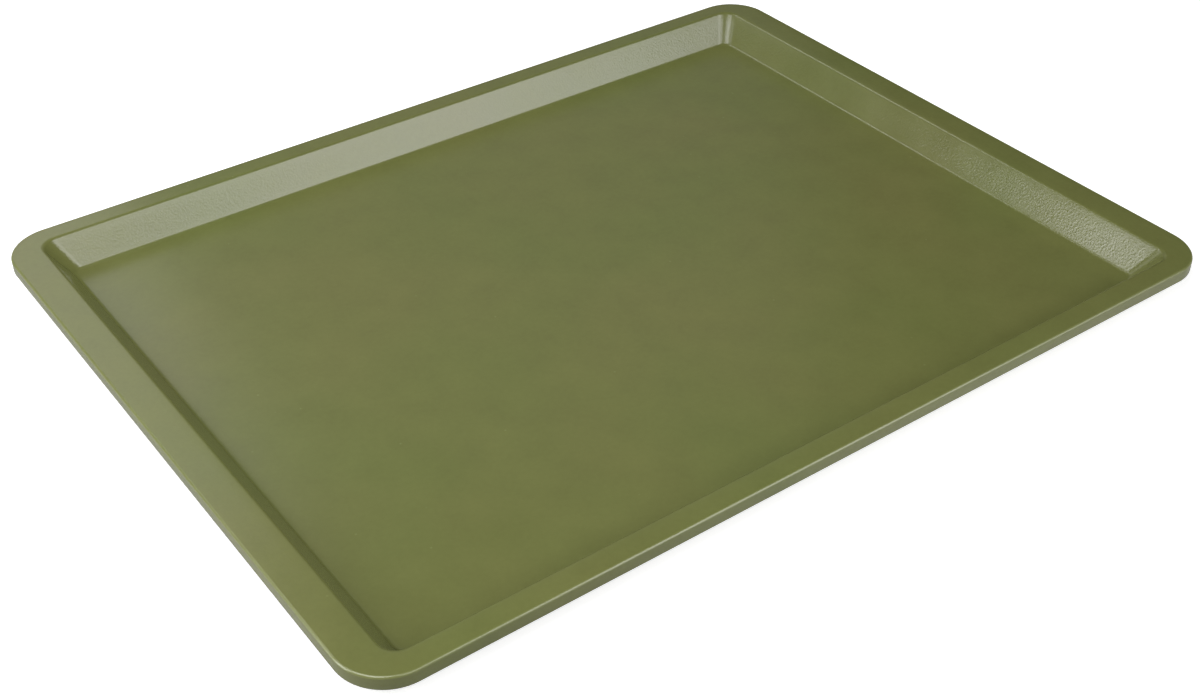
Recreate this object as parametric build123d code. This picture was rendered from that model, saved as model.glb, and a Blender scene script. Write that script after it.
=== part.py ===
from build123d import *
import math
import os

# A shallow baking tray: one steel sheet pressed to a flat floor, sloped walls and a flat flange,
# with its outer edge turned down and rolled round a reinforcing wire.
# Lengths are in millimetres, +X runs along the long side, +Y along the short side and +Z up.
# The origin is the middle of the floor's underside, which is the face that the tray rests on.

# Overall sizes
TRAY_LENGTH = 400.0
TRAY_WIDTH = 302.4
RIM_CORNER_RADIUS = 19.5

# The sheet and what it is pressed to
SHEET_GAUGE = 0.8
INSIDE_DEPTH = 12.8
WALL_SLOPE_DEGREES = 55.0
END_FLANGE_WIDTH = 13.9
SIDE_FLANGE_WIDTH = 9.4
MOUTH_CORNER_RADIUS = 7.5
FLOOR_CORNER_RADIUS = 5.0
MOUTH_BEND_RADIUS = 1.8
FLOOR_BEND_RADIUS = 2.0

# The rolled edge and the wire in it
WIRE_DIAMETER = 4.4
WIRE_CLEARANCE = 0.1
WIRE_BUTT_GAP = 1.0
RIM_BEND_RADIUS = 1.0
HEM_BEND_RADIUS = 1.2
HEM_LIP_GAP = 0.4

# Heights and offsets that follow from them
RIM_TOP = SHEET_GAUGE + INSIDE_DEPTH
WALL_RUN = INSIDE_DEPTH / math.tan(math.radians(WALL_SLOPE_DEGREES))
SKIN_OFFSET = SHEET_GAUGE * math.tan(math.radians(WALL_SLOPE_DEGREES) / 2)
HEM_BORE = WIRE_DIAMETER + 2 * WIRE_CLEARANCE
HEM_SIZE = HEM_BORE + 2 * SHEET_GAUGE
HEM_MIDDLE_INSET = HEM_SIZE / 2
HEM_MIDDLE_HEIGHT = RIM_TOP - HEM_MIDDLE_INSET


def inset_outline(end_inset, side_inset, corner_radius, height):
    """The tray's plan outline, drawn in from the short and the long sides, as a face at a height."""
    length = TRAY_LENGTH - 2 * end_inset
    width = TRAY_WIDTH - 2 * side_inset
    return Pos(0, 0, height) * RectangleRounded(length, width, corner_radius)


def pressed_hollow(skin_offset, foot_height, mouth_height):
    """The solid under one skin of the sheet, from the floor up to the flange, with sharp bends."""
    mouth = inset_outline(
        END_FLANGE_WIDTH - skin_offset,
        SIDE_FLANGE_WIDTH - skin_offset,
        MOUTH_CORNER_RADIUS + skin_offset,
        mouth_height,
    )
    foot = inset_outline(
        END_FLANGE_WIDTH + WALL_RUN - skin_offset,
        SIDE_FLANGE_WIDTH + WALL_RUN - skin_offset,
        FLOOR_CORNER_RADIUS + skin_offset,
        foot_height,
    )
    return loft([foot, mouth], ruled=True)


def bend_edges(pan, height):
    """The edges at a height that run round the mouth or the floor, well inside the rolled edge."""

    def is_inside(edge):
        start = edge @ 0
        in_length = abs(start.X) < TRAY_LENGTH / 2 - HEM_SIZE
        in_width = abs(start.Y) < TRAY_WIDTH / 2 - HEM_SIZE
        return in_length and in_width

    level = pan.edges().filter_by_position(Axis.Z, height, height)
    return level.filter_by(is_inside)


def make_pan():
    """The floor, the walls and the flat flange, with the four bends rounded as the sheet bends."""
    flange_plate = extrude(
        inset_outline(RIM_BEND_RADIUS, RIM_BEND_RADIUS, RIM_CORNER_RADIUS - RIM_BEND_RADIUS, RIM_TOP),
        amount=-SHEET_GAUGE,
    )
    under_skin = pressed_hollow(SKIN_OFFSET, 0, RIM_TOP - SHEET_GAUGE)
    upper_skin = pressed_hollow(0, SHEET_GAUGE, RIM_TOP)
    pan = flange_plate + under_skin - upper_skin

    pan = fillet(bend_edges(pan, RIM_TOP), MOUTH_BEND_RADIUS)
    pan = fillet(bend_edges(pan, RIM_TOP - SHEET_GAUGE), MOUTH_BEND_RADIUS - SHEET_GAUGE)
    pan = fillet(bend_edges(pan, SHEET_GAUGE), FLOOR_BEND_RADIUS)
    pan = fillet(bend_edges(pan, 0), FLOOR_BEND_RADIUS + SHEET_GAUGE)
    return pan


def hem_outline(side, rim_radius, hem_radius):
    """A square whose outer top corner and two lower corners are rounded. Local +X points inward."""
    square = Rectangle(side, side)
    outer_top = square.vertices().group_by(Axis.Y)[-1].sort_by(Axis.X)[0]
    square = fillet(outer_top, rim_radius)
    lower = square.vertices().group_by(Axis.Y)[0]
    return fillet(lower, hem_radius)


def make_hem_section():
    """The sheet's section round the wire: turned down, curled under and back up to a free lip."""
    outer_skin = hem_outline(HEM_SIZE, RIM_BEND_RADIUS, HEM_BEND_RADIUS)
    bore = hem_outline(HEM_BORE, RIM_BEND_RADIUS - SHEET_GAUGE, HEM_BEND_RADIUS - SHEET_GAUGE)
    lip_gap = Pos(HEM_SIZE / 2 - SHEET_GAUGE / 2, HEM_BORE / 2 - HEM_LIP_GAP / 2) * Rectangle(
        SHEET_GAUGE, HEM_LIP_GAP
    )
    return outer_skin - bore - lip_gap


def hem_path():
    """The closed line that the wire's middle follows, as far in from the edge as half the hem."""
    face = inset_outline(
        HEM_MIDDLE_INSET,
        HEM_MIDDLE_INSET,
        RIM_CORNER_RADIUS - HEM_MIDDLE_INSET,
        HEM_MIDDLE_HEIGHT,
    )
    return face.face().outer_wire()


def section_plane(path):
    """The plane across the path's start, with its X towards the tray's middle and its Y up."""
    tangent = path % 0
    inward = Vector(0, 0, 1).cross(tangent)
    if inward.dot(path @ 0) > 0:
        tangent = -tangent
        inward = -inward
    return Plane(origin=path @ 0, x_dir=inward, z_dir=inward.cross(Vector(0, 0, 1)))


def make_pressed_sheet():
    """The whole pressing: the pan with the hem carried round its flange."""
    path = hem_path()
    hem = sweep(section_plane(path) * make_hem_section(), path=path)
    return make_pan() + hem


def make_rim_wire():
    """The wire loop in the hem, cut to a butt gap at the middle of the far long side."""
    path = hem_path()
    loop = sweep(section_plane(path) * Circle(WIRE_DIAMETER / 2), path=path)
    gap_middle = Pos(0, TRAY_WIDTH / 2 - HEM_MIDDLE_INSET, HEM_MIDDLE_HEIGHT)
    return loop - gap_middle * Box(WIRE_BUTT_GAP, HEM_BORE, HEM_BORE)


def main():
    """Writes one STEP file for each piece."""
    os.makedirs("parts", exist_ok=True)
    pieces = {
        "pressed_sheet": make_pressed_sheet(),
        "rim_wire": make_rim_wire(),
    }
    for name, piece in pieces.items():
        piece.label = name
        export_step(piece, f"parts/{name}.step")
        size = piece.bounding_box().size
        print(f"{name}: {len(piece.solids())} solid, {size.X:.1f} x {size.Y:.1f} x {size.Z:.1f} mm")


main()
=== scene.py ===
"""The finished looks of a cookie sheet: a coated pressing with a wired rim, in metres, in the row's frame."""

import logging
import math
from dataclasses import dataclass, field
from enum import Enum

import bpy
from mathutils import Euler, Matrix, Vector


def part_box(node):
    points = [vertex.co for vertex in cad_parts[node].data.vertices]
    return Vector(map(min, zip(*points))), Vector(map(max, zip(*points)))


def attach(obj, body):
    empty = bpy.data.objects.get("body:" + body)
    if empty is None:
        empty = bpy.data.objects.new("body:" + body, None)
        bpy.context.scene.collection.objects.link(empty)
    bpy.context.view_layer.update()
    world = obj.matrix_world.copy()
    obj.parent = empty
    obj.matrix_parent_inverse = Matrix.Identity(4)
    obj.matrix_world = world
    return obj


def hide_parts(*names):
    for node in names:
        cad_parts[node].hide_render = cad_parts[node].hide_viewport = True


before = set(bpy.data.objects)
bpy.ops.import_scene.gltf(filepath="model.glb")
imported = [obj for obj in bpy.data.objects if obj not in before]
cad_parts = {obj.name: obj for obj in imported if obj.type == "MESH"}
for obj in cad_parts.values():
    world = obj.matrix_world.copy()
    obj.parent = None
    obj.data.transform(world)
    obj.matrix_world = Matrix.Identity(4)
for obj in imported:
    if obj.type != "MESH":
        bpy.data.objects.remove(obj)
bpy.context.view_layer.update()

log = logging.getLogger("cookie_sheet")

MM = 0.001
QUARTER_TURN = math.pi / 2
CORNERS = 4
WHITE = (1.0, 1.0, 1.0, 1.0)
ROOT_BODY = "root"

# Named attributes of the finished sheet's mesh, which its coating reads.
# This one carries where a painted highlight is laid along the rim's bend.
RIM_HIGHLIGHT_ATTRIBUTE = "edge_rub"
DRAW_ATTRIBUTE = "wall_draw"

# Directions in a section of the sheet, in degrees from inward, upwards positive.
UPWARD = 90
OUTWARD = 180
DOWNWARD = 270
INWARD = 360

Profile = list[tuple[float, float]]


class TreeKind(Enum):
    """The kinds of node tree that this script builds."""

    GEOMETRY = "GeometryNodeTree"
    SHADER = "ShaderNodeTree"


class NodeWiring:
    """A thin layer over a node tree, so that a tree reads as a list of named steps."""

    def __init__(self, tree: bpy.types.NodeTree) -> None:
        """Keeps the tree that the steps are added to."""
        self.tree = tree

    @classmethod
    def group(cls, name: str, kind: TreeKind) -> "NodeWiring":
        """Makes a new node group of the given kind, and its wiring."""
        return cls(bpy.data.node_groups.new(name, kind.value))

    def socket(self, name: str, kind: str, default: object = None, is_output: bool = False) -> None:
        """Adds a named socket to the group.

        Args:
            name: the socket's name.
            kind: its type, without the NodeSocket prefix.
            default: its default value, if it has one.
            is_output: true for a socket that the group puts out.
        """
        side = "OUTPUT" if is_output else "INPUT"
        made = self.tree.interface.new_socket(name, in_out=side, socket_type="NodeSocket" + kind)
        if default is not None:
            made.default_value = default

    def add(self, kind: str, values: dict | None = None, **settings: object) -> bpy.types.Node:
        """Adds a node, sets its options and then its sockets.

        Args:
            kind: the node's type.
            values: each socket's name or number, and a value or another node's output for it.
            settings: the node's own options.

        Returns:
            The new node.
        """
        node = self.tree.nodes.new(kind)
        for name, value in settings.items():
            setattr(node, name, value)
        for key, value in (values or {}).items():
            self.feed(node.inputs[key], value)
        return node

    def feed(self, socket: bpy.types.NodeSocket, value: object) -> None:
        """Links an output to a socket, or sets the socket's own value.

        Args:
            socket: the socket that takes the value.
            value: another node's output, or a plain value.
        """
        if isinstance(value, bpy.types.NodeSocket):
            self.tree.links.new(value, socket)
        else:
            socket.default_value = value

    def math(self, operation: str, first: object, second: object = 0.0) -> bpy.types.NodeSocket:
        """The result of one arithmetic step on two values or outputs."""
        return self.add("ShaderNodeMath", {0: first, 1: second}, operation=operation).outputs[0]

    def vector_math(self, operation: str, first: object, second: object) -> bpy.types.NodeSocket:
        """The result of one step on two vectors."""
        return self.add("ShaderNodeVectorMath", {0: first, 1: second}, operation=operation).outputs[0]

    def scaled(self, vector: bpy.types.NodeSocket, share: bpy.types.NodeSocket) -> bpy.types.NodeSocket:
        """A vector or colour times a number."""
        return self.add("ShaderNodeVectorMath", {0: vector, "Scale": share}, operation="SCALE").outputs[0]

    def centred(self, value: bpy.types.NodeSocket) -> bpy.types.NodeSocket:
        """Turns a value from nought to one into one from minus one to one."""
        return self.add("ShaderNodeMath", {0: value, 1: 2.0, 2: -1.0}, operation="MULTIPLY_ADD").outputs[0]

    def noise(self, vector: bpy.types.NodeSocket, size: object, detail: float) -> bpy.types.NodeSocket:
        """Soft noise.

        Args:
            vector: the coordinates that it is read at.
            size: the size of its patches, as a length or a length's output.
            detail: how many finer layers it has.

        Returns:
            The noise, from nought to one.
        """
        scale = self.math("DIVIDE", 1.0, size)
        values = {"Vector": vector, "Scale": scale, "Detail": detail}
        return self.add("ShaderNodeTexNoise", values).outputs[0]

    def mix(self, share: bpy.types.NodeSocket, first: object, second: object) -> bpy.types.NodeSocket:
        """Mixes two colours.

        Args:
            share: how much of the second colour shows.
            first: a colour or its output.
            second: the other one.

        Returns:
            The mixed colour.
        """
        node = self.add("ShaderNodeMix", data_type="RGBA")
        colours = [socket for socket in node.inputs if socket.type == "RGBA"]
        self.feed(node.inputs[0], share)
        self.feed(colours[0], first)
        self.feed(colours[1], second)
        return next(socket for socket in node.outputs if socket.type == "RGBA")

    def place(self, group: bpy.types.NodeTree, values: dict[str, object]) -> bpy.types.NodeOutputs:
        """Places a group in the tree.

        Args:
            group: the group.
            values: a value or an output for each of its inputs, by name.

        Returns:
            The placed group's outputs.
        """
        kind = group.bl_idname.replace("Tree", "Group")
        node = self.tree.nodes.new(kind)
        node.node_tree = group
        for name, value in values.items():
            self.feed(node.inputs[name], value)
        return node.outputs


def new_material(name: str) -> tuple[bpy.types.Material, NodeWiring, bpy.types.Node]:
    """Makes a material with nodes.

    Args:
        name: the material's name.

    Returns:
        The material, the wiring of its tree and its Principled BSDF.
    """
    made = bpy.data.materials.new(name)
    made.use_nodes = True
    return made, NodeWiring(made.node_tree), made.node_tree.nodes["Principled BSDF"]


@dataclass(frozen=True)
class Ring:
    """One closed line round the sheet: how far in from the edges it lies, its corner and its height.

    Its rim highlight is how much painted highlight lies there along the rim's bend, and its draw how much the
    press stretched the sheet there, both from nought to one.
    """

    end_inset: float
    side_inset: float
    corner_radius: float
    height: float
    rub: float = 0.0
    draw: float = 0.0


@dataclass(frozen=True)
class Station:
    """One place on a rounded rectangle: the side or corner it belongs to, and the way it faces."""

    side: tuple[float, float]
    facing: tuple[float, float]


@dataclass(frozen=True)
class PlanOutline:
    """The stations round the tray's plan, from the middle of the far long side anticlockwise."""

    corner_steps: int = 24
    long_side_steps: int = 24
    short_side_steps: int = 18

    def corner(self, number: int) -> list[Station]:
        """The stations round one corner.

        Args:
            number: the corner's number, anticlockwise from the one at the far right.

        Returns:
            The corner's stations, both ends included.
        """
        start = number * QUARTER_TURN
        middle = start + QUARTER_TURN / 2
        side = (math.copysign(1, math.cos(middle)), math.copysign(1, math.sin(middle)))
        steps = range(self.corner_steps + 1)
        turns = [start + QUARTER_TURN * step / self.corner_steps for step in steps]
        return [Station(side, (math.cos(turn), math.sin(turn))) for turn in turns]

    def straight(self, first: Station, last: Station, steps: int) -> list[Station]:
        """The stations between two corners, without the corners' own.

        Args:
            first: the last station of one corner.
            last: the first station of the next.
            steps: how many steps the side is cut into.

        Returns:
            The side's inner stations.
        """
        shares = [step / steps for step in range(1, steps)]
        sides = [tuple(a + (b - a) * share for a, b in zip(first.side, last.side)) for share in shares]
        return [Station(side, first.facing) for side in sides]

    def closed(self) -> list[Station]:
        """All the stations in order, starting at the middle of the far long side.

        Returns:
            The stations, each of them once.
        """
        corners = [self.corner(number) for number in range(CORNERS)]
        side_steps = [self.long_side_steps, self.short_side_steps] * (CORNERS // 2)
        stations = []
        for number, steps in enumerate(side_steps):
            following = corners[(number + 1) % CORNERS]
            stations += corners[number]
            stations += self.straight(corners[number][-1], following[0], steps)
        middle = len(corners[0]) - 1 + self.long_side_steps // 2
        return stations[middle:] + stations[:middle]


def table_mesh(name: str, points: list[tuple], attributes: dict[str, list]) -> bpy.types.Object:
    """A helper object whose points carry named values for a geometry tree.

    Args:
        name: the object's name.
        points: each point's place.
        attributes: lists of one number or one vector for each point, by name.

    Returns:
        The helper object, which isn't in the scene.
    """
    mesh = bpy.data.meshes.new(name)
    mesh.from_pydata(points, [], [])
    for attribute, values in attributes.items():
        if isinstance(values[0], tuple):
            made = mesh.attributes.new(attribute, "FLOAT_VECTOR", "POINT")
            made.data.foreach_set("vector", [part for value in values for part in value])
        else:
            made = mesh.attributes.new(attribute, "FLOAT", "POINT")
            made.data.foreach_set("value", values)
    return bpy.data.objects.new(name, mesh)


def ring_table(name: str, rings: list[Ring]) -> bpy.types.Object:
    """The helper object of a list of rings: each point is a ring's two insets and its height.

    Args:
        name: the object's name.
        rings: the rings in order.

    Returns:
        The helper object, which also carries each ring's corner, rub and draw.
    """
    points = [(ring.end_inset, ring.side_inset, ring.height) for ring in rings]
    attributes = {
        "corner_radius": [ring.corner_radius for ring in rings],
        "rub": [ring.rub for ring in rings],
        "draw": [ring.draw for ring in rings],
    }
    return table_mesh(name, points, attributes)


def outline_table(name: str, stations: list[Station]) -> bpy.types.Object:
    """The helper object of a list of stations: each point is a station's side, and carries its facing.

    Args:
        name: the object's name.
        stations: the stations in order.

    Returns:
        The helper object.
    """
    points = [(*station.side, 0.0) for station in stations]
    facings = [(*station.facing, 0.0) for station in stations]
    return table_mesh(name, points, {"facing": facings})


class PlacingGroup:
    """The node group that places a point on a rounded rectangle."""

    NAME = "Place on the outline"
    HALF_PLAN = (0.5, 0.5, 0.0)
    PLAN = (1.0, 1.0, 0.0)
    UPRIGHT = (0.0, 0.0, 1.0)

    @classmethod
    def build(cls) -> bpy.types.NodeTree:
        """Builds the group once.

        Returns:
            The group, with a position for its output.
        """
        if cls.NAME in bpy.data.node_groups:
            return bpy.data.node_groups[cls.NAME]
        wiring = NodeWiring.group(cls.NAME, TreeKind.GEOMETRY)
        for name in ("Overall Size", "Insets and Height", "Side", "Facing"):
            wiring.socket(name, "Vector")
        wiring.socket("Corner Radius", "Float")
        wiring.socket("Position", "Vector", is_output=True)
        given = wiring.add("NodeGroupInput").outputs
        half_size = wiring.vector_math("MULTIPLY", given["Overall Size"], cls.HALF_PLAN)
        insets = wiring.vector_math("MULTIPLY", given["Insets and Height"], cls.PLAN)
        height = wiring.vector_math("MULTIPLY", given["Insets and Height"], cls.UPRIGHT)
        corner = given["Corner Radius"]
        radius = wiring.add("ShaderNodeCombineXYZ", {0: corner, 1: corner}).outputs[0]
        reach = wiring.vector_math("SUBTRACT", wiring.vector_math("SUBTRACT", half_size, insets), radius)
        corner_middle = wiring.vector_math("MULTIPLY", reach, given["Side"])
        round_part = wiring.vector_math("MULTIPLY", radius, given["Facing"])
        flat = wiring.vector_math("ADD", corner_middle, round_part)
        wiring.add("NodeGroupOutput", {"Position": wiring.vector_math("ADD", flat, height)})
        return wiring.tree


def sample(
    wiring: NodeWiring, geometry: bpy.types.NodeSocket, value: bpy.types.NodeSocket, index: object
) -> bpy.types.NodeSocket:
    """The vector that a field has at one point of a table."""
    values = {"Geometry": geometry, "Value": value, "Index": index}
    return wiring.add("GeometryNodeSampleIndex", values, data_type="FLOAT_VECTOR", domain="POINT").outputs[0]


def named(wiring: NodeWiring, attribute: str, kind: str = "FLOAT_VECTOR") -> bpy.types.NodeSocket:
    """The output of a named attribute of a table."""
    return wiring.add("GeometryNodeInputNamedAttribute", {"Name": attribute}, data_type=kind).outputs[0]


def apply_tree(name: str, tree: bpy.types.NodeTree, inputs: dict[str, object]) -> bpy.types.Object:
    """Runs a geometry tree on an empty mesh and turns its result into a plain piece at the origin.

    Args:
        name: the piece's name.
        tree: the geometry tree.
        inputs: the modifier's values, by the names of the tree's inputs.

    Returns:
        The piece, with no modifier on it.
    """
    carrier = bpy.data.objects.new(name, bpy.data.meshes.new(name))
    bpy.context.scene.collection.objects.link(carrier)
    modifier = carrier.modifiers.new("shape", "NODES")
    modifier.node_group = tree
    sockets = {item.name: item.identifier for item in tree.interface.items_tree if item.in_out == "INPUT"}
    for label, value in inputs.items():
        modifier[sockets[label]] = value
    depsgraph = bpy.context.evaluated_depsgraph_get()
    mesh = bpy.data.meshes.new_from_object(carrier.evaluated_get(depsgraph), depsgraph=depsgraph)
    carrier.modifiers.remove(modifier)
    carrier.data = mesh
    mesh.name = name
    return carrier


@dataclass
class PressedSheet:
    """The one pressing: floor, sloped walls, flat flange and the hem rolled round the wire.

    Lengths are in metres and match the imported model's. The draw's rise says how soon it is full between the
    ends of a wall and its middle. The weld distance closes the skin, and the crease angle keeps the lip's
    edges sharp.
    """

    length: float
    width: float
    gauge: float = 0.8 * MM
    depth: float = 12.8 * MM
    wall_slope: float = math.radians(55)
    end_flange: float = 13.9 * MM
    side_flange: float = 9.4 * MM
    rim_corner: float = 19.5 * MM
    mouth_corner: float = 7.5 * MM
    floor_corner: float = 5.0 * MM
    mouth_bend: float = 1.8 * MM
    floor_bend: float = 2.0 * MM
    rim_bend: float = 1.0 * MM
    hem_bend: float = 1.2 * MM
    hem_bore: float = 4.6 * MM
    hem_lip_gap: float = 0.4 * MM
    bend_steps: int = 8
    flange_steps: int = 4
    flange_draw: float = 0.3
    draw_rise: float = 6.0
    wall_steps: int = 4
    floor_steps: int = 10
    weld_distance: float = 0.01 * MM
    crease_angle: float = math.radians(40)
    outline: PlanOutline = field(default_factory=PlanOutline)

    @property
    def rim_top(self) -> float:
        """The height of the flange's upper face."""
        return self.gauge + self.depth

    @property
    def wall_run(self) -> float:
        """How far the wall leans in from the flange to the floor."""
        return self.depth / math.tan(self.wall_slope)

    @property
    def hem_size(self) -> float:
        """The hem's outer height and width."""
        return self.hem_bore + 2 * self.gauge

    def arc(self, centre: tuple[float, float], radius: float, first: float, last: float) -> Profile:
        """A bend in the section.

        Args:
            centre: the bend's middle, as inset and height.
            radius: its radius.
            first: the turn it starts at, in degrees from inward, upwards positive.
            last: the turn it ends at.

        Returns:
            Its points, both ends included.
        """
        inset, height = centre
        steps = range(self.bend_steps + 1)
        turns = [math.radians(first + (last - first) * step / self.bend_steps) for step in steps]
        return [(inset + radius * math.cos(turn), height + radius * math.sin(turn)) for turn in turns]

    def pan_skin(self, offset: float) -> list[Ring]:
        """One skin of the floor and wall, from the floor's middle up to where the flange is flat.

        Args:
            offset: nothing for the upper skin, and the gauge for the lower one.

        Returns:
            The skin's rings.
        """
        slope = math.degrees(self.wall_slope)
        half_turn = math.tan(self.wall_slope / 2)
        skin_shift = offset * half_turn
        floor_height = self.gauge - offset
        flange_height = self.rim_top - offset
        floor_radius = self.floor_bend + offset
        mouth_radius = self.mouth_bend - offset
        floor_start = self.wall_run - skin_shift + floor_radius * half_turn
        mouth_end = -skin_shift - mouth_radius * half_turn
        floor_centre = (floor_start, floor_height + floor_radius)
        mouth_centre = (mouth_end, flange_height - mouth_radius)
        floor_arc = self.arc(floor_centre, floor_radius, DOWNWARD, DOWNWARD - slope)
        mouth_arc = self.arc(mouth_centre, mouth_radius, UPWARD - slope, UPWARD)
        foot_inset, foot_height = floor_arc[-1]
        top_inset, top_height = mouth_arc[0]
        run = top_inset - foot_inset
        rise = top_height - foot_height
        shares = [step / self.wall_steps for step in range(1, self.wall_steps)]
        wall = [(foot_inset + run * share, foot_height + rise * share) for share in shares]
        profile = floor_arc + wall + mouth_arc
        floor = self.floor_rings(floor_start, floor_height, skin_shift)
        return floor + [self.pan_ring(inset, height, floor_height, skin_shift) for inset, height in profile]

    def pan_ring(self, inset: float, height: float, floor_height: float, skin_shift: float) -> Ring:
        """A ring of the wall, whose corner widens from the floor to the mouth.

        Args:
            inset: how far it lies in from the mouth's own line.
            height: its height.
            floor_height: the height of the skin's floor.
            skin_shift: how far the skin lies outside the upper one.

        Returns:
            The ring.
        """
        share = min(max((height - floor_height) / self.depth, 0), 1)
        corner = self.floor_corner + (self.mouth_corner - self.floor_corner) * share
        bend_relief = max(inset - (self.wall_run * (1 - share) - skin_shift), 0)
        return Ring(
            self.end_flange + inset,
            self.side_flange + inset,
            max(corner + skin_shift - bend_relief, 0),
            height,
            draw=min(self.draw_rise * share * (1 - share), 1),
        )

    def floor_rings(self, start: float, height: float, skin_shift: float) -> list[Ring]:
        """The flat floor's rings, which draw in to a line along its middle.

        Args:
            start: the inset where the floor becomes flat.
            height: the floor skin's height.
            skin_shift: how far the skin lies outside the upper one.

        Returns:
            The rings from the middle outwards, without the first of the bend.
        """
        corner = max(self.floor_corner + skin_shift - (start - self.wall_run + skin_shift), 0)
        middle = self.width / 2 - self.side_flange
        shares = [step / self.floor_steps for step in range(self.floor_steps)]
        insets = [middle + (start - middle) * math.sin(share * QUARTER_TURN) for share in shares]
        return [
            Ring(self.end_flange + inset, self.side_flange + inset, max(corner - (inset - start), 0), height)
            for inset in insets
        ]

    def flange_rings(self, outer: float, inner_ring: Ring) -> list[Ring]:
        """The flat stretch between a wall's top and the rim, without the ring at either end.

        Args:
            outer: the inset where the rim's bend starts.
            inner_ring: the ring at the wall's top.

        Returns:
            The rings from the wall outwards.
        """
        corner = self.rim_corner - outer
        rings = []
        for step in range(1, self.flange_steps):
            share = step / self.flange_steps
            rings.append(
                Ring(
                    inner_ring.end_inset + (outer - inner_ring.end_inset) * share,
                    inner_ring.side_inset + (outer - inner_ring.side_inset) * share,
                    inner_ring.corner_radius + (corner - inner_ring.corner_radius) * share,
                    inner_ring.height,
                    draw=self.flange_draw,
                )
            )
        return rings

    def hem_skin(self, offset: float) -> list[Ring]:
        """One skin of the hem, from the rim's bend round the wire to the free lip.

        Args:
            offset: nothing for the outer skin, and the gauge for the one that faces the wire.

        Returns:
            The skin's rings.
        """
        rim = self.rim_bend
        hem = self.hem_bend
        bottom = self.rim_top - self.hem_size
        lip_top = self.rim_top - self.gauge - self.hem_lip_gap
        profile = self.arc((rim, self.rim_top - rim), rim - offset, UPWARD, OUTWARD)
        profile += self.arc((hem, bottom + hem), hem - offset, OUTWARD, DOWNWARD)
        profile += self.arc((self.hem_size - hem, bottom + hem), hem - offset, DOWNWARD, INWARD)
        profile.append((self.hem_size - offset, lip_top))
        # A painted highlight along the rim's bend, strongest at the bend's middle.
        rim_highlights = [math.sin(math.pi * step / self.bend_steps) for step in range(self.bend_steps + 1)]
        rim_highlights += [0.0] * (len(profile) - len(rim_highlights))
        return [
            Ring(inset, inset, self.rim_corner - inset, height, rub)
            for (inset, height), rub in zip(profile, rim_highlights)
        ]

    def rings(self) -> list[Ring]:
        """The whole closed section, from the floor's upper middle out round the hem and back below.

        Returns:
            The section's rings in order.
        """
        upper_pan = self.pan_skin(0)
        lower_pan = self.pan_skin(self.gauge)
        outer_hem = self.hem_skin(0)
        inner_hem = self.hem_skin(self.gauge)
        upper_flange = self.flange_rings(outer_hem[0].end_inset, upper_pan[-1])
        lower_flange = self.flange_rings(inner_hem[0].end_inset, lower_pan[-1])
        upper = upper_pan + upper_flange + outer_hem
        lower = lower_pan + lower_flange + inner_hem
        return upper + lower[::-1]

    def sweep_tree(self) -> bpy.types.NodeTree:
        """The tree that carries the section round the outline as one closed skin.

        Returns:
            The geometry tree.
        """
        wiring = NodeWiring.group("Sheet round the outline", TreeKind.GEOMETRY)
        wiring.socket("Section", "Object")
        wiring.socket("Outline", "Object")
        wiring.socket("Overall Size", "Vector")
        wiring.socket("Weld Distance", "Float", self.weld_distance)
        wiring.socket("Crease Angle", "Float", self.crease_angle)
        wiring.socket("Coating", "Material")
        wiring.socket("Geometry", "Geometry", is_output=True)
        given = wiring.add("NodeGroupInput").outputs
        section = wiring.add("GeometryNodeObjectInfo", {"Object": given["Section"]}).outputs["Geometry"]
        outline = wiring.add("GeometryNodeObjectInfo", {"Object": given["Outline"]}).outputs["Geometry"]
        ring_count = wiring.add("GeometryNodeAttributeDomainSize", {0: section}).outputs[0]
        station_count = wiring.add("GeometryNodeAttributeDomainSize", {0: outline}).outputs[0]
        columns = wiring.math("ADD", station_count, 1)
        grid = wiring.add("GeometryNodeMeshGrid", {"Vertices X": columns, "Vertices Y": ring_count})
        index = wiring.add("GeometryNodeInputIndex").outputs[0]
        ring = wiring.math("FLOORED_MODULO", index, ring_count)
        # Half an index keeps the division clear of rounding at each column's first point.
        clear_index = wiring.math("ADD", index, 0.5)
        column = wiring.math("FLOOR", wiring.math("DIVIDE", clear_index, ring_count))
        station = wiring.math("FLOORED_MODULO", column, station_count)
        position = wiring.add("GeometryNodeInputPosition").outputs[0]
        radius = sample(wiring, section, named(wiring, "corner_radius", "FLOAT"), ring)
        placing = {
            "Overall Size": given["Overall Size"],
            "Insets and Height": sample(wiring, section, position, ring),
            "Side": sample(wiring, outline, position, station),
            "Facing": sample(wiring, outline, named(wiring, "facing"), station),
            "Corner Radius": wiring.add("ShaderNodeSeparateXYZ", {0: radius}).outputs[0],
        }
        placed = wiring.place(PlacingGroup.build(), placing)["Position"]
        moved = wiring.add("GeometryNodeSetPosition", {"Geometry": grid.outputs[0], "Position": placed})
        marked = moved
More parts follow.
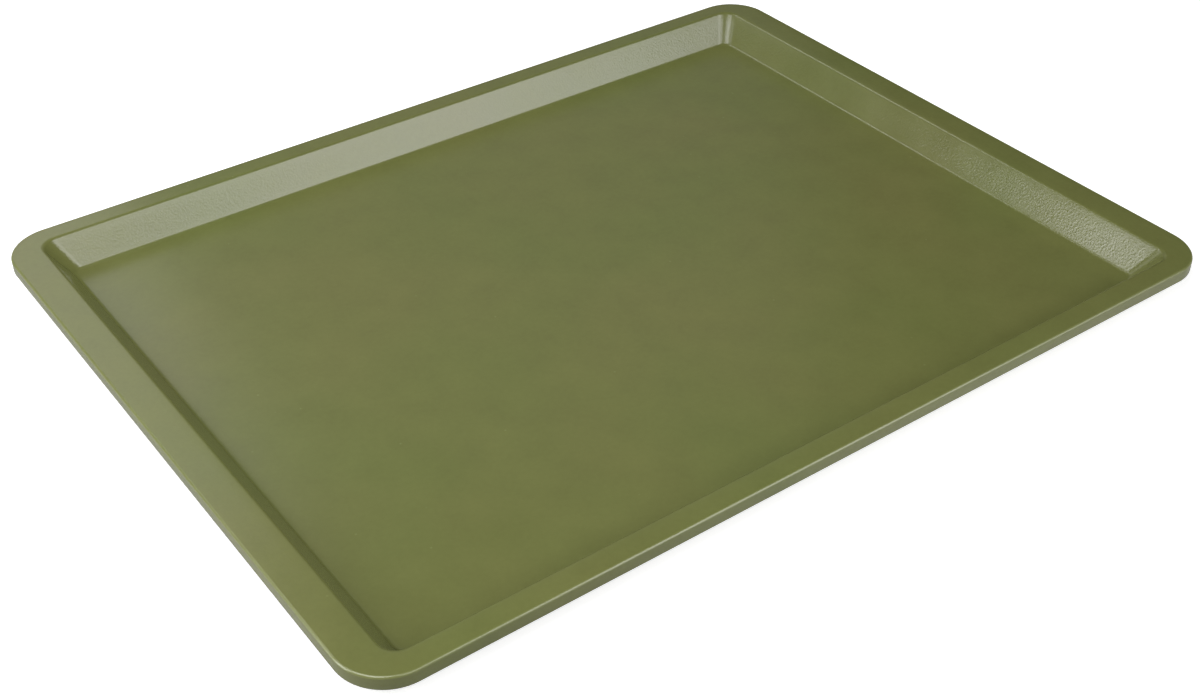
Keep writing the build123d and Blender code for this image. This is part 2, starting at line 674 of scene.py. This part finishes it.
        # The painted highlight along the rim and the draw go onto the mesh as named attributes.
        for source, kept in (("rub", RIM_HIGHLIGHT_ATTRIBUTE), ("draw", DRAW_ATTRIBUTE)):
            amount = sample(wiring, section, named(wiring, source, "FLOAT"), ring)
            marked = wiring.add(
                "GeometryNodeStoreNamedAttribute",
                {"Geometry": marked.outputs[0], "Name": kept},
                data_type="FLOAT",
                domain="POINT",
            )
            wiring.feed(marked.inputs["Value"], wiring.add("ShaderNodeSeparateXYZ", {0: amount}).outputs[0])
        welded = wiring.add(
            "GeometryNodeMergeByDistance",
            {0: marked.outputs[0], "Distance": given["Weld Distance"]},
        )
        flipped = wiring.add("GeometryNodeFlipFaces", {0: welded.outputs[0]})
        smooth = wiring.add("GeometryNodeSetShadeSmooth", {"Geometry": flipped.outputs[0]}, domain="FACE")
        angle = wiring.add("GeometryNodeInputMeshEdgeAngle").outputs[0]
        sharp = wiring.math("GREATER_THAN", angle, given["Crease Angle"])
        creased = wiring.add(
            "GeometryNodeSetShadeSmooth",
            {"Geometry": smooth.outputs[0], "Selection": sharp, "Shade Smooth": False},
            domain="EDGE",
        )
        real = wiring.add("GeometryNodeRealizeInstances", {0: creased.outputs[0]})
        coating = {"Geometry": real.outputs[0], "Material": given["Coating"]}
        coated = wiring.add("GeometryNodeSetMaterial", coating)
        wiring.add("NodeGroupOutput", {"Geometry": coated.outputs[0]})
        return wiring.tree

    def build(self, coating: bpy.types.Material) -> bpy.types.Object:
        """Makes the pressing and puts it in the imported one's place.

        Args:
            coating: the finish of the whole sheet.

        Returns:
            The finished piece.
        """
        inputs = {
            "Section": ring_table("sheet section", self.rings()),
            "Outline": outline_table("sheet outline", self.outline.closed()),
            "Overall Size": (self.length, self.width, 0.0),
            "Weld Distance": self.weld_distance,
            "Crease Angle": self.crease_angle,
            "Coating": coating,
        }
        piece = apply_tree("coated_sheet", self.sweep_tree(), inputs)
        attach(piece, ROOT_BODY)
        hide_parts("pressed_sheet")
        log.info("coated_sheet: %d faces", len(piece.data.polygons))
        return piece


class ToneGroup:
    """The shader group of uneven tone, which the coating and the bare steel share."""

    NAME = "Uneven tone"
    PATCH_DETAIL = 3.0
    FLECK_DETAIL = 1.0

    @classmethod
    def build(cls) -> bpy.types.NodeTree:
        """Builds the group once.

        Returns:
            The group, which puts out a tone about one, and its broad patches by themselves.
        """
        if cls.NAME in bpy.data.node_groups:
            return bpy.data.node_groups[cls.NAME]
        wiring = NodeWiring.group(cls.NAME, TreeKind.SHADER)
        wiring.socket("Vector", "Vector")
        wiring.socket("Patch Size", "Float", 30 * MM)
        wiring.socket("Patch Strength", "Float", 0.05)
        wiring.socket("Fleck Size", "Float", 1 * MM)
        wiring.socket("Fleck Strength", "Float", 0.05)
        wiring.socket("Tone", "Float", is_output=True)
        wiring.socket("Patches", "Float", is_output=True)
        given = wiring.add("NodeGroupInput").outputs
        patches = wiring.centred(wiring.noise(given["Vector"], given["Patch Size"], cls.PATCH_DETAIL))
        flecks = wiring.centred(wiring.noise(given["Vector"], given["Fleck Size"], cls.FLECK_DETAIL))
        broad = wiring.math("MULTIPLY", patches, given["Patch Strength"])
        fine = wiring.math("MULTIPLY", flecks, given["Fleck Strength"])
        tone = wiring.math("ADD", wiring.math("ADD", broad, fine), 1.0)
        wiring.add("NodeGroupOutput", {"Tone": tone, "Patches": patches})
        return wiring.tree


class ReliefGroup:
    """The shader group of surface relief: a fine grain on slow waves, shared by both finishes."""

    NAME = "Surface relief"
    GRAIN_DETAIL = 1.5
    WAVE_DETAIL = 0.5

    @classmethod
    def build(cls) -> bpy.types.NodeTree:
        """Builds the group once.

        Returns:
            The group, which puts out a height in metres.
        """
        if cls.NAME in bpy.data.node_groups:
            return bpy.data.node_groups[cls.NAME]
        wiring = NodeWiring.group(cls.NAME, TreeKind.SHADER)
        wiring.socket("Vector", "Vector")
        wiring.socket("Grain Size", "Float", 1 * MM)
        wiring.socket("Grain Depth", "Float", 0.02 * MM)
        wiring.socket("Wave Size", "Float", 40 * MM)
        wiring.socket("Wave Depth", "Float", 0.1 * MM)
        wiring.socket("Height", "Float", is_output=True)
        given = wiring.add("NodeGroupInput").outputs
        grain = wiring.noise(given["Vector"], given["Grain Size"], cls.GRAIN_DETAIL)
        waves = wiring.noise(given["Vector"], given["Wave Size"], cls.WAVE_DETAIL)
        grain_height = wiring.math("MULTIPLY", grain, given["Grain Depth"])
        wave_height = wiring.math("MULTIPLY", waves, given["Wave Depth"])
        wiring.add("NodeGroupOutput", {"Height": wiring.math("ADD", grain_height, wave_height)})
        return wiring.tree


@dataclass(frozen=True)
class Tone:
    """How unevenly a finish is toned."""

    patch_size: float
    patch_strength: float
    fleck_size: float
    fleck_strength: float

    def place(self, wiring: NodeWiring, vector: bpy.types.NodeSocket) -> bpy.types.NodeOutputs:
        """Places the shared group in a material.

        Args:
            wiring: the material's tree.
            vector: the piece's own coordinates.

        Returns:
            The placed group's outputs.
        """
        values = {
            "Vector": vector,
            "Patch Size": self.patch_size,
            "Patch Strength": self.patch_strength,
            "Fleck Size": self.fleck_size,
            "Fleck Strength": self.fleck_strength,
        }
        return wiring.place(ToneGroup.build(), values)


@dataclass(frozen=True)
class Relief:
    """How rough and how wavy a finish is to the touch."""

    grain_size: float
    grain_depth: float
    wave_size: float
    wave_depth: float

    def normal(
        self,
        wiring: NodeWiring,
        vector: bpy.types.NodeSocket,
        grain_share: bpy.types.NodeSocket | None = None,
    ) -> bpy.types.NodeSocket:
        """Places the shared group in a material and turns its height into a normal.

        Args:
            wiring: the material's tree.
            vector: the piece's own coordinates.
            grain_share: how much of the grain's depth shows, where that changes over the piece.

        Returns:
            The bumped normal's output.
        """
        values = {
            "Vector": vector,
            "Grain Size": self.grain_size,
            "Grain Depth": self.grain_depth,
            "Wave Size": self.wave_size,
            "Wave Depth": self.wave_depth,
        }
        if grain_share is not None:
            values["Grain Depth"] = wiring.math("MULTIPLY", grain_share, self.grain_depth)
        height = wiring.place(ReliefGroup.build(), values)["Height"]
        return wiring.add("ShaderNodeBump", {"Strength": 1.0, "Distance": 1.0, "Height": height}).outputs[0]


@dataclass(frozen=True)
class CoatingFinish:
    """The olive non-stick coating, with its cloudy tone, a few rubbed specks and a painted highlight along
    the rim's bend.

    Its orange peel is deep where the sheet was drawn, and only the flat grain share of that elsewhere.
    """

    green: tuple[float, float, float] = (0.156, 0.193, 0.0530)
    brown: tuple[float, float, float] = (0.203, 0.197, 0.0670)
    # Pale colour of the rubbed specks, also used for the painted highlight along the rim's bend.
    rubbed_and_highlight: tuple[float, float, float] = (0.320, 0.350, 0.140)
    hue_patch: float = 100 * MM
    hue_detail: float = 2.0
    refraction: float = 1.79
    roughness: float = 0.235
    roughness_spread: float = 0.05
    speck_spacing: float = 9 * MM
    speck_size: float = 0.6 * MM
    speck_core: float = 0.3
    speck_share: float = 0.25
    speck_strength: float = 0.3
    # How strongly the painted highlight is laid along the rim's bend.
    rim_highlight_strength: float = 0.35
    flat_grain_share: float = 0.12
    tone: Tone = Tone(patch_size=18 * MM, patch_strength=0.10, fleck_size=2.0 * MM, fleck_strength=0.05)
    relief: Relief = Relief(
        grain_size=0.95 * MM,
        grain_depth=0.08 * MM,
        wave_size=38 * MM,
        wave_depth=0.12 * MM,
    )

    def specks(self, wiring: NodeWiring, vector: bpy.types.NodeSocket) -> bpy.types.NodeSocket:
        """Sparse small marks where the coating is rubbed.

        Args:
            wiring: the material's tree.
            vector: the piece's own coordinates.

        Returns:
            The marks' mask.
        """
        values = {"Vector": vector, "Scale": 1 / self.speck_spacing}
        cells = wiring.add("ShaderNodeTexVoronoi", values).outputs
        reach = self.speck_size / self.speck_spacing
        span = {"Value": cells["Distance"], "From Min": reach, "From Max": self.speck_core * reach}
        near = wiring.add("ShaderNodeMapRange", span).outputs[0]
        lot = wiring.add("ShaderNodeSeparateColor", {0: cells["Color"]}).outputs[0]
        chosen = wiring.math("LESS_THAN", lot, self.speck_share)
        return wiring.math("MULTIPLY", wiring.math("MULTIPLY", near, chosen), self.speck_strength)

    def material(self) -> bpy.types.Material:
        """Builds the coating's material.

        Returns:
            The material.
        """
        made, wiring, shader = new_material("olive non-stick coating")
        vector = wiring.add("ShaderNodeTexCoord").outputs["Object"]
        tone = self.tone.place(wiring, vector)
        hue = wiring.noise(vector, self.hue_patch, self.hue_detail)
        olive = wiring.mix(hue, (*self.green, 1.0), (*self.brown, 1.0))
        toned = wiring.scaled(olive, tone["Tone"])
        # Painted highlight along the rim's bend, mixed in with the rubbed specks in their pale colour.
        rub = wiring.add("ShaderNodeAttribute", attribute_name=RIM_HIGHLIGHT_ATTRIBUTE).outputs["Fac"]
        painted_highlight = wiring.math("MULTIPLY", rub, self.rim_highlight_strength)
        worn_and_highlight = wiring.math("MAXIMUM", self.specks(wiring, vector), painted_highlight)
        colour = wiring.mix(worn_and_highlight, toned, (*self.rubbed_and_highlight, 1.0))
        spread = wiring.math("MULTIPLY", tone["Patches"], self.roughness_spread)
        shader.inputs["IOR"].default_value = self.refraction
        wiring.feed(shader.inputs["Base Color"], colour)
        wiring.feed(shader.inputs["Roughness"], wiring.math("ADD", spread, self.roughness))
        drawn = wiring.add("ShaderNodeAttribute", attribute_name=DRAW_ATTRIBUTE).outputs["Fac"]
        grain = wiring.add("ShaderNodeMapRange", {"Value": drawn, "To Min": self.flat_grain_share}).outputs[0]
        wiring.feed(shader.inputs["Normal"], self.relief.normal(wiring, vector, grain))
        return made


@dataclass(frozen=True)
class SteelFinish:
    """The drawn steel of the rim's wire, bare inside the hem."""

    colour: tuple[float, float, float] = (0.46, 0.45, 0.43)
    roughness: float = 0.38
    roughness_spread: float = 0.10
    tone: Tone = Tone(patch_size=9 * MM, patch_strength=0.15, fleck_size=0.4 * MM, fleck_strength=0.10)
    relief: Relief = Relief(
        grain_size=0.25 * MM,
        grain_depth=0.006 * MM,
        wave_size=6 * MM,
        wave_depth=0.01 * MM,
    )

    def material(self) -> bpy.types.Material:
        """Builds the wire's material.

        Returns:
            The material.
        """
        made, wiring, shader = new_material("drawn steel wire")
        vector = wiring.add("ShaderNodeTexCoord").outputs["Object"]
        tone = self.tone.place(wiring, vector)
        spread = wiring.math("MULTIPLY", tone["Patches"], self.roughness_spread)
        base = wiring.add("ShaderNodeRGB").outputs[0]
        base.default_value = (*self.colour, 1.0)
        wiring.feed(shader.inputs["Base Color"], wiring.scaled(base, tone["Tone"]))
        wiring.feed(shader.inputs["Roughness"], wiring.math("ADD", spread, self.roughness))
        wiring.feed(shader.inputs["Normal"], self.relief.normal(wiring, vector))
        shader.inputs["Metallic"].default_value = 1.0
        return made


@dataclass(frozen=True)
class RimWire:
    """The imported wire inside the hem, which stays as it is."""

    finish: SteelFinish = SteelFinish()

    def dress(self) -> None:
        """Gives the wire its finish."""
        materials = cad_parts["rim_wire"].data.materials
        materials.clear()
        materials.append(self.finish.material())
        log.info("rim_wire: dressed in drawn steel")


@dataclass(frozen=True)
class Softbox:
    """A soft panel light that faces the tray.

    The heading is in degrees from the far side towards the right, and the lift in degrees above the floor.
    """

    name: str
    heading: float
    lift: float
    distance: float
    width: float
    height: float
    brightness: float

    def build(self) -> None:
        """Hangs the panel, unseen by the camera."""
        heading = math.radians(self.heading)
        lift = math.radians(self.lift)
        flat = math.cos(lift)
        outward = Vector((flat * math.sin(heading), flat * math.cos(heading), math.sin(lift)))
        data = bpy.data.lights.new(self.name, "AREA")
        data.shape = "RECTANGLE"
        data.size = self.width
        data.size_y = self.height
        # A panel's power is pi times its brightness and its area.
        data.energy = self.brightness * math.pi * self.width * self.height
        light = bpy.data.objects.new(self.name, data)
        light.location = outward * self.distance
        light.rotation_euler = (-outward).to_track_quat("-Z", "Y").to_euler()
        light.visible_camera = False
        bpy.context.scene.collection.objects.link(light)


@dataclass(frozen=True)
class Ramp:
    """A value that grows evenly from one place to another, and is level beyond them."""

    start: float
    end: float
    least: float
    most: float

    def place(self, wiring: NodeWiring, along: bpy.types.NodeSocket) -> bpy.types.NodeSocket:
        """Places the ramp in a material.

        Args:
            wiring: the material's tree.
            along: the coordinate that it follows.

        Returns:
            The value's output.
        """
        span = {"Value": along, "From Min": self.start, "From Max": self.end}
        span |= {"To Min": self.least, "To Max": self.most}
        return wiring.add("ShaderNodeMapRange", span).outputs[0]


@dataclass(frozen=True)
class Studio:
    """The plain pale floor, the soft lights and the camera at the photograph's place.

    The floor and the backdrop are pale only to the camera. To the tray the backdrop is nearly dark, and two
    ramps, one rightward and one towards the far side, say how much light the floor throws back.
    """

    lens: float = 49.98
    sensor_width: float = 36.0
    camera_place: tuple[float, float, float] = (-0.34156, -0.45997, 0.39429)
    heading: float = math.radians(36.486)
    pitch: float = math.radians(36.958)
    roll: float = math.radians(0.169)
    clip_start: float = 0.01
    floor_size: float = 12.0
    floor_tone: float = 0.85
    floor_roughness: float = 0.9
    floor_glow: float = 0.70
    rebound_across: Ramp = Ramp(start=-0.20, end=0.05, least=0.28, most=0.87)
    rebound_along: Ramp = Ramp(start=-0.18, end=-0.10, least=0.28, most=0.63)
    backdrop_tone: float = 0.95
    ambient: float = 0.01
    softboxes: tuple[Softbox, ...] = (
        Softbox(
            name="front_right_softbox",
            heading=146.1,
            lift=26.7,
            distance=3.59,
            width=1.71,
            height=3.52,
            brightness=3.00,
        ),
        Softbox(
            name="left_softbox",
            heading=287.9,
            lift=20.9,
            distance=1.71,
            width=0.79,
            height=1.25,
            brightness=4.17,
        ),
        Softbox(
            name="front_left_softbox",
            heading=249.7,
            lift=54.1,
            distance=0.88,
            width=0.58,
            height=0.62,
            brightness=3.68,
        ),
        Softbox(
            name="back_right_panel",
            heading=22.4,
            lift=29.5,
            distance=3.84,
            width=2.83,
            height=1.94,
            brightness=0.17,
        ),
        Softbox(
            name="back_panel",
            heading=-9.9,
            lift=35.4,
            distance=0.71,
            width=0.27,
            height=0.40,
            brightness=0.69,
        ),
        Softbox(
            name="front_panel",
            heading=178.9,
            lift=43.0,
            distance=3.63,
            width=1.14,
            height=1.60,
            brightness=2.89,
        ),
        Softbox(
            name="left_strip",
            heading=291.9,
            lift=43.8,
            distance=1.57,
            width=0.20,
            height=0.57,
            brightness=1.22,
        ),
        Softbox(
            name="back_left_strip",
            heading=333.0,
            lift=50.0,
            distance=2.00,
            width=0.24,
            height=0.85,
            brightness=3.80,
        ),
    )

    def build_floor(self) -> None:
        """Lays the pale floor under the tray."""
        half = self.floor_size / 2
        corners = [(-half, -half, 0), (half, -half, 0), (half, half, 0), (-half, half, 0)]
        mesh = bpy.data.meshes.new("studio_floor")
        mesh.from_pydata(corners, [], [(0, 1, 2, 3)])
        floor = bpy.data.objects.new("studio_floor", mesh)
        bpy.context.scene.collection.objects.link(floor)
        mesh.materials.append(self.floor_material())

    def floor_material(self) -> bpy.types.Material:
        """Builds the floor's material, pale to the camera and dimmer in the light that it throws back.

        It throws back least by the tray's near left corner.

        Returns:
            The material.
        """
        made, wiring, pale = new_material("pale floor")
        pale.inputs["Base Color"].default_value = (self.floor_tone, self.floor_tone, self.floor_tone, 1.0)
        pale.inputs["Roughness"].default_value = self.floor_roughness
        pale.inputs["Emission Color"].default_value = WHITE
        pale.inputs["Emission Strength"].default_value = self.floor_glow
        place = wiring.add("ShaderNodeTexCoord").outputs["Object"]
        parts = wiring.add("ShaderNodeSeparateXYZ", {0: place}).outputs
        across = self.rebound_across.place(wiring, parts[0])
        along = self.rebound_along.place(wiring, parts[1])
        rebound = wiring.math("MAXIMUM", across, along)
        dim = wiring.add("ShaderNodeBsdfDiffuse", {"Color": rebound}).outputs[0]
        seen = wiring.add("ShaderNodeLightPath").outputs["Is Camera Ray"]
        both = wiring.add("ShaderNodeMixShader", {0: seen, 1: dim, 2: pale.outputs[0]}).outputs[0]
        output = made.node_tree.get_output_node("ALL")
        wiring.feed(output.inputs["Surface"], both)
        return made

    def build_camera(self) -> None:
        """Sets the camera where the photograph was taken from."""
        data = bpy.data.cameras.new("camera")
        data.lens = self.lens
        data.sensor_width = self.sensor_width
        data.clip_start = self.clip_start
        camera = bpy.data.objects.new("camera", data)
        bpy.context.scene.collection.objects.link(camera)
        level = Euler((QUARTER_TURN - self.pitch, 0, -self.heading)).to_matrix()
        aim = level @ Matrix.Rotation(self.roll, 3, "Z")
        camera.matrix_world = Matrix.Translation(self.camera_place) @ aim.to_4x4()
        bpy.context.scene.camera = camera

    def build_backdrop(self) -> None:
        """Makes the surroundings, dim in the tray's light and pale where the camera looks past the floor."""
        world = bpy.data.worlds.new("studio")
        world.use_nodes = True
        wiring = NodeWiring(world.node_tree)
        world.node_tree.nodes.clear()
        tones = [{"Color": WHITE, "Strength": strength} for strength in (self.ambient, self.backdrop_tone)]
        dim, pale = (wiring.add("ShaderNodeBackground", tone).outputs[0] for tone in tones)
        seen = wiring.add("ShaderNodeLightPath").outputs["Is Camera Ray"]
        both = wiring.add("ShaderNodeMixShader", {0: seen, 1: dim, 2: pale}).outputs[0]
        wiring.add("ShaderNodeOutputWorld", {"Surface": both})
        bpy.context.scene.world = world

    def build(self) -> None:
        """Builds the whole stage."""
        self.build_floor()
        self.build_backdrop()
        for softbox in self.softboxes:
            softbox.build()
        self.build_camera()
        view = bpy.context.scene.view_settings
        view.view_transform = "Standard"
        view.look = "None"


def main() -> None:
    """Builds the pieces and the stage in order."""
    logging.basicConfig(level=logging.INFO, format="%(name)s: %(message)s")
    low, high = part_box("pressed_sheet")
    coating = CoatingFinish().material()
    PressedSheet(length=high.x - low.x, width=high.y - low.y).build(coating)
    RimWire().dress()
    Studio().build()


if __name__ == "__main__":
    main()
